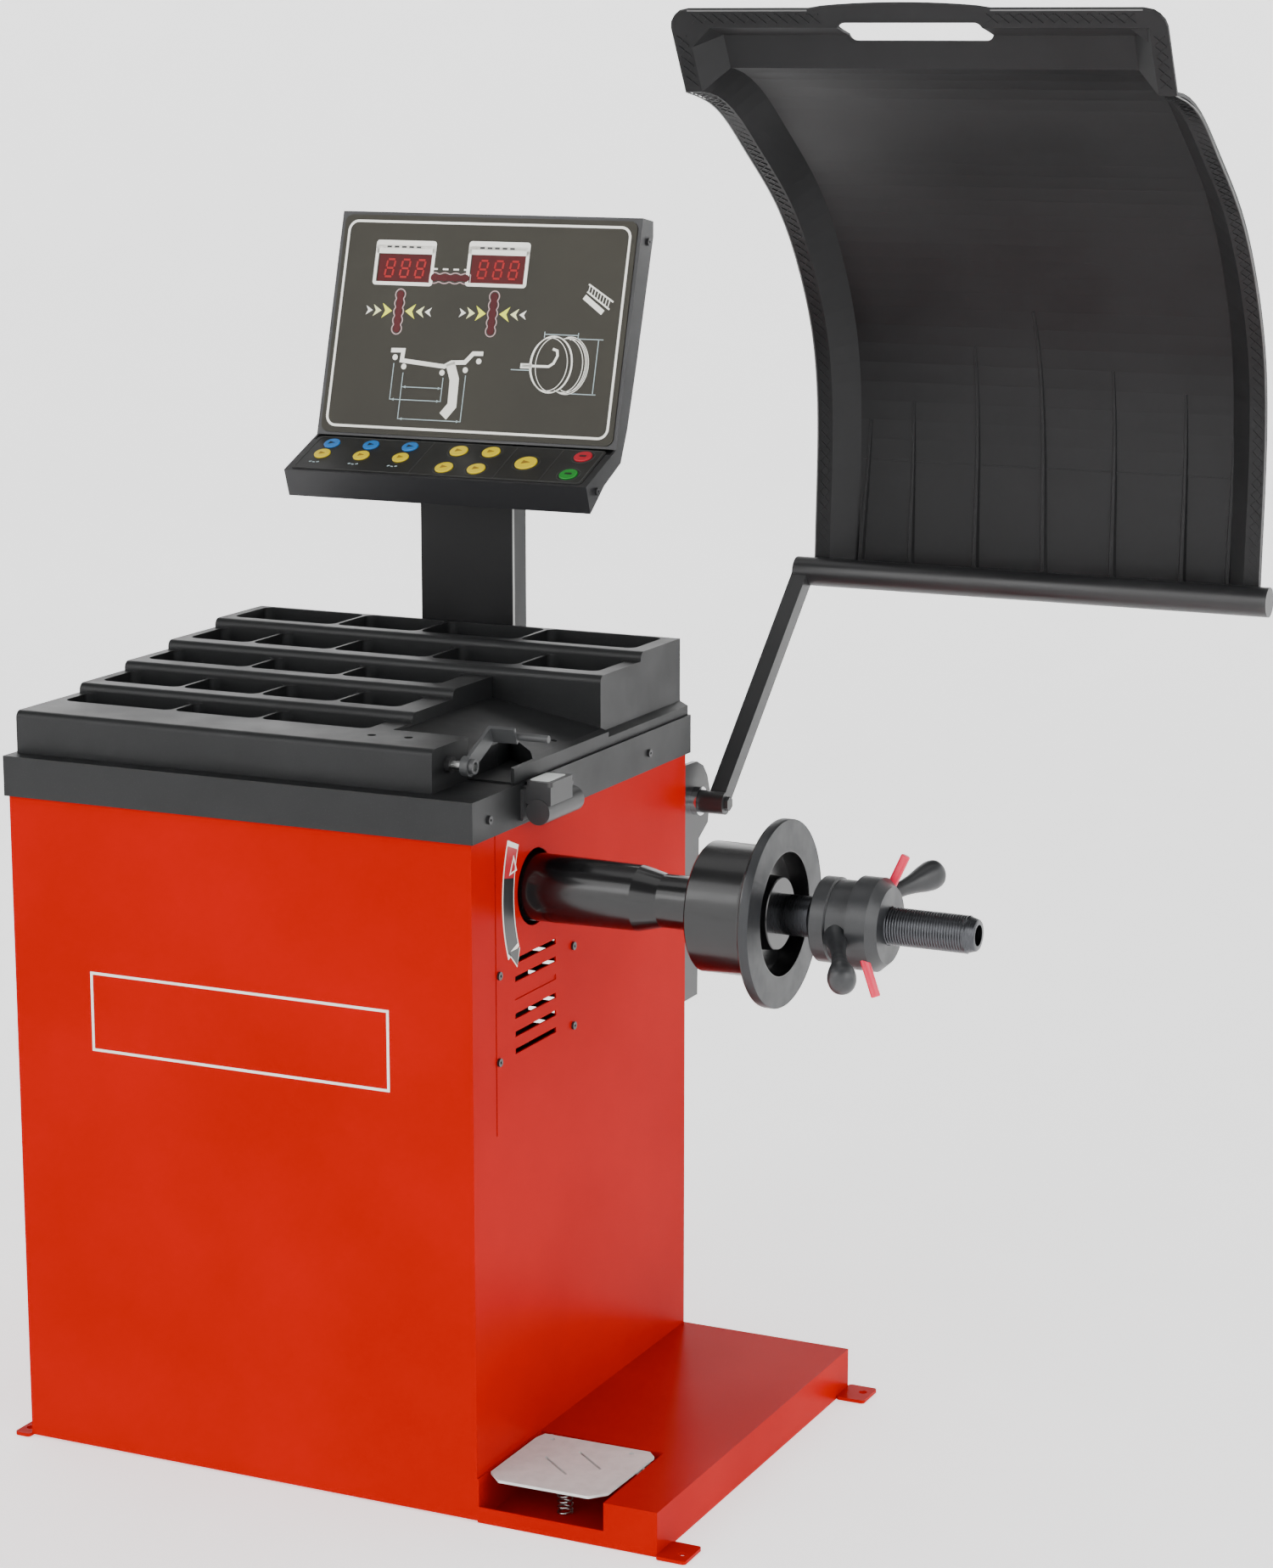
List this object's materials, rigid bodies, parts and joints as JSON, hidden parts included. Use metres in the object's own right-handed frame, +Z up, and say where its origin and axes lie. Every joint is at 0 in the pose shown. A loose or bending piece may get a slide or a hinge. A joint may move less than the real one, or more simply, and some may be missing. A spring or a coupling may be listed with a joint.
{
  "type": "wheel balancer",
  "caption": "Pedestal wheel balancing machine with threaded spindle and quick nut, swing-over wheel guard, stepped weight tray, tilted display with keypad, distance gauge and brake pedal",
  "frame": {"origin": "centre of the four floor anchor holes, on the floor", "axes": "+X along the spindle towards its free end, +Y to the back of the machine, +Z up"},
  "size_m": [1.208, 0.8805, 1.6056],
  "materials": {
    "red_coat": "glossy red powder coat",
    "tray_plastic": "moulded dark grey plastic",
    "panel_plastic": "printed front film",
    "housing_plastic": "painted grey housing",
    "black_steel": "black coated steel",
    "oxide_steel": "black-oxide turned steel",
    "bright_steel": "ground steel",
    "chrome": "chrome plate",
    "zinc_plate": "galvanised sheet",
    "cast_grey": "grey casting",
    "aluminium": "machined aluminium",
    "belt_rubber": "black rubber",
    "board": "green circuit board",
    "black_plastic": "black moulded plastic",
    "window_red": "tinted red lens",
    "lamp_red": "dark red lamp",
    "key_blue": "blue key",
    "key_yellow": "yellow key",
    "key_red": "red key",
    "key_green": "green key",
    "pin_pink": "pink red plastic",
    "nut_plastic": "dark grey moulded nut"
  },
  "bodies": {
    "machine": {"anchor_tabs": "red_coat", "base_platform": "red_coat", "cabinet_shell": "red_coat", "case_screws": "black_steel", "circuit_boards": "board", "display_face": "panel_plastic", "display_housing": "housing_plastic", "display_post": "housing_plastic", "drive_belt": "belt_rubber", "drive_motor": "aluminium", "force_sensors": "aluminium", "gauge_guide": "black_steel", "hood_bracket": "black_steel", "hood_bush": "chrome", "keypad_face": "panel_plastic", "led_lamps": "lamp_red", "pedal_spring": "bright_steel", "power_inlet": "black_plastic", "readout_windows": "window_red", "rear_cover": "red_coat", "shaft_cover": "black_steel", "side_clamp": "bright_steel", "spindle_bearings": "bright_steel", "spindle_bracket": "cast_grey", "spindle_housing": "cast_grey", "weight_tray": "tray_plastic"},
    "spindle": {"main_shaft": "oxide_steel", "wheel_flange": "oxide_steel", "shaft_pulley": "aluminium", "encoder_disc": "bright_steel"},
    "motor_rotor": {"motor_pulley": "aluminium"},
    "nut_slider": {"nut_cup": "nut_plastic"},
    "nut_turner": {"nut_housing": "nut_plastic", "nut_handles": "nut_plastic"},
    "front_pin": {"nut_pin_front": "pin_pink"},
    "rear_pin": {"nut_pin_rear": "pin_pink"},
    "hood": {"hood_arm": "black_steel", "hood_shell": "black_plastic", "hood_end_cap": "black_plastic"},
    "gauge_slider": {"gauge_rod": "bright_steel"},
    "gauge_swinger": {"gauge_arm": "zinc_plate"},
    "pedal": {"pedal_plate": "zinc_plate", "pedal_shaft": "bright_steel"},
    "brake_pusher": {"brake_rod": "bright_steel"},
    "brake": {"brake_arm": "cast_grey"},
    "switch": {"power_switch": "key_red"},
    "clamp_screw": {"clamp_knob": "black_plastic"},
    "key_blue_1_cap": {"key_blue_1": "key_blue"},
    "key_blue_2_cap": {"key_blue_2": "key_blue"},
    "key_blue_3_cap": {"key_blue_3": "key_blue"},
    "key_enter_cap": {"key_enter": "key_green"},
    "key_small_1_cap": {"key_small_1": "key_yellow"},
    "key_small_2_cap": {"key_small_2": "key_yellow"},
    "key_small_3_cap": {"key_small_3": "key_yellow"},
    "key_start_cap": {"key_start": "key_yellow"},
    "key_stop_cap": {"key_stop": "key_red"},
    "key_yellow_1_cap": {"key_yellow_1": "key_yellow"},
    "key_yellow_2_cap": {"key_yellow_2": "key_yellow"},
    "key_yellow_3_cap": {"key_yellow_3": "key_yellow"},
    "key_yellow_4_cap": {"key_yellow_4": "key_yellow"}
  },
  "joints": [
    {"name": "shaft_spin", "type": "hinge", "parent": "machine", "child": "spindle", "pos_m": [0.374, -0.1207, 0.6741], "axis": [1, 0, 0], "continuous": true},
    {"name": "motor_spin", "type": "hinge", "parent": "machine", "child": "motor_rotor", "pos_m": [-0.062, -0.1207, 0.49], "axis": [1, 0, 0], "continuous": true},
    {"name": "nut_slide", "type": "slide", "parent": "spindle", "child": "nut_slider", "axis": [1, 0, 0], "range_m": [-0.047, 0.085]},
    {"name": "nut_turn", "type": "hinge", "parent": "nut_slider", "child": "nut_turner", "pos_m": [0.554, -0.1207, 0.6741], "axis": [1, 0, 0], "continuous": true},
    {"name": "front_pin_press", "type": "slide", "parent": "nut_turner", "child": "front_pin", "axis": [-0.3844, -0.1371, -0.9129], "range_m": [0, 0.004], "stiffness_N_per_m": 1500, "springref_m": -0.002},
    {"name": "rear_pin_press", "type": "slide", "parent": "nut_turner", "child": "rear_pin", "axis": [-0.3844, 0.1371, 0.9129], "range_m": [0, 0.004], "stiffness_N_per_m": 1500, "springref_m": -0.002},
    {"name": "hood_swing", "type": "hinge", "parent": "machine", "child": "hood", "pos_m": [0.158, 0.2961, 0.6878], "axis": [1, 0, 0], "range_deg": [0, 80]},
    {"name": "gauge_slide", "type": "slide", "parent": "machine", "child": "gauge_slider", "axis": [1, 0, 0], "range_m": [0, 0.225]},
    {"name": "gauge_swing", "type": "hinge", "parent": "gauge_slider", "child": "gauge_swinger", "pos_m": [0.143, -0.2145, 0.8205], "axis": [1, 0, 0], "range_deg": [-18, 100]},
    {"name": "pedal_press", "type": "hinge", "parent": "machine", "child": "pedal", "pos_m": [0.248, -0.1315, 0.036], "axis": [1, 0, 0], "range_deg": [0, 5], "stiffness_Nm_per_rad": 40, "springref_deg": -8.02, "deforming": ["pedal_spring"]},
    {"name": "brake_push", "type": "slide", "parent": "machine", "child": "brake_pusher", "axis": [0, 0, 1], "range_m": [0, 0.0066]},
    {"name": "brake_swing", "type": "hinge", "parent": "machine", "child": "brake", "pos_m": [-0.04, -0.1675, 0.595], "axis": [1, 0, 0], "range_deg": [0, 3.3]},
    {"name": "switch_rock", "type": "hinge", "parent": "machine", "child": "switch", "pos_m": [0.012, 0.2645, 0.164], "axis": [1, 0, 0], "range_deg": [0, 12]},
    {"name": "clamp_turn", "type": "hinge", "parent": "machine", "child": "clamp_screw", "pos_m": [0.198, -0.1075, 0.786], "axis": [0, 1, 0], "continuous": true},
    {"name": "key_blue_1_press", "type": "slide", "parent": "machine", "child": "key_blue_1_cap", "axis": [0, 0.3954, -0.9185], "range_m": [0, 0.0012], "stiffness_N_per_m": 600, "springref_m": -0.0008},
    {"name": "key_blue_2_press", "type": "slide", "parent": "machine", "child": "key_blue_2_cap", "axis": [0, 0.3954, -0.9185], "range_m": [0, 0.0012], "stiffness_N_per_m": 600, "springref_m": -0.0008},
    {"name": "key_blue_3_press", "type": "slide", "parent": "machine", "child": "key_blue_3_cap", "axis": [0, 0.3954, -0.9185], "range_m": [0, 0.0012], "stiffness_N_per_m": 600, "springref_m": -0.0008},
    {"name": "key_enter_press", "type": "slide", "parent": "machine", "child": "key_enter_cap", "axis": [0, 0.3954, -0.9185], "range_m": [0, 0.0012], "stiffness_N_per_m": 600, "springref_m": -0.0008},
    {"name": "key_small_1_press", "type": "slide", "parent": "machine", "child": "key_small_1_cap", "axis": [0, 0.3954, -0.9185], "range_m": [0, 0.0012], "stiffness_N_per_m": 600, "springref_m": -0.0008},
    {"name": "key_small_2_press", "type": "slide", "parent": "machine", "child": "key_small_2_cap", "axis": [0, 0.3954, -0.9185], "range_m": [0, 0.0012], "stiffness_N_per_m": 600, "springref_m": -0.0008},
    {"name": "key_small_3_press", "type": "slide", "parent": "machine", "child": "key_small_3_cap", "axis": [0, 0.3954, -0.9185], "range_m": [0, 0.0012], "stiffness_N_per_m": 600, "springref_m": -0.0008},
    {"name": "key_start_press", "type": "slide", "parent": "machine", "child": "key_start_cap", "axis": [0, 0.3954, -0.9185], "range_m": [0, 0.0012], "stiffness_N_per_m": 600, "springref_m": -0.0008},
    {"name": "key_stop_press", "type": "slide", "parent": "machine", "child": "key_stop_cap", "axis": [0, 0.3954, -0.9185], "range_m": [0, 0.0012], "stiffness_N_per_m": 600, "springref_m": -0.0008},
    {"name": "key_yellow_1_press", "type": "slide", "parent": "machine", "child": "key_yellow_1_cap", "axis": [0, 0.3954, -0.9185], "range_m": [0, 0.0012], "stiffness_N_per_m": 600, "springref_m": -0.0008},
    {"name": "key_yellow_2_press", "type": "slide", "parent": "machine", "child": "key_yellow_2_cap", "axis": [0, 0.3954, -0.9185], "range_m": [0, 0.0012], "stiffness_N_per_m": 600, "springref_m": -0.0008},
    {"name": "key_yellow_3_press", "type": "slide", "parent": "machine", "child": "key_yellow_3_cap", "axis": [0, 0.3954, -0.9185], "range_m": [0, 0.0012], "stiffness_N_per_m": 600, "springref_m": -0.0008},
    {"name": "key_yellow_4_press", "type": "slide", "parent": "machine", "child": "key_yellow_4_cap", "axis": [0, 0.3954, -0.9185], "range_m": [0, 0.0012], "stiffness_N_per_m": 600, "springref_m": -0.0008}
  ],
  "couplings": [
    {"joint": "motor_spin", "follows": "shaft_spin", "ratio": 2.4},
    {"joint": "brake_push", "follows": "pedal_press", "m_per_rad": 0.075},
    {"joint": "brake_swing", "follows": "pedal_press", "ratio": 0.6522}
  ]
}
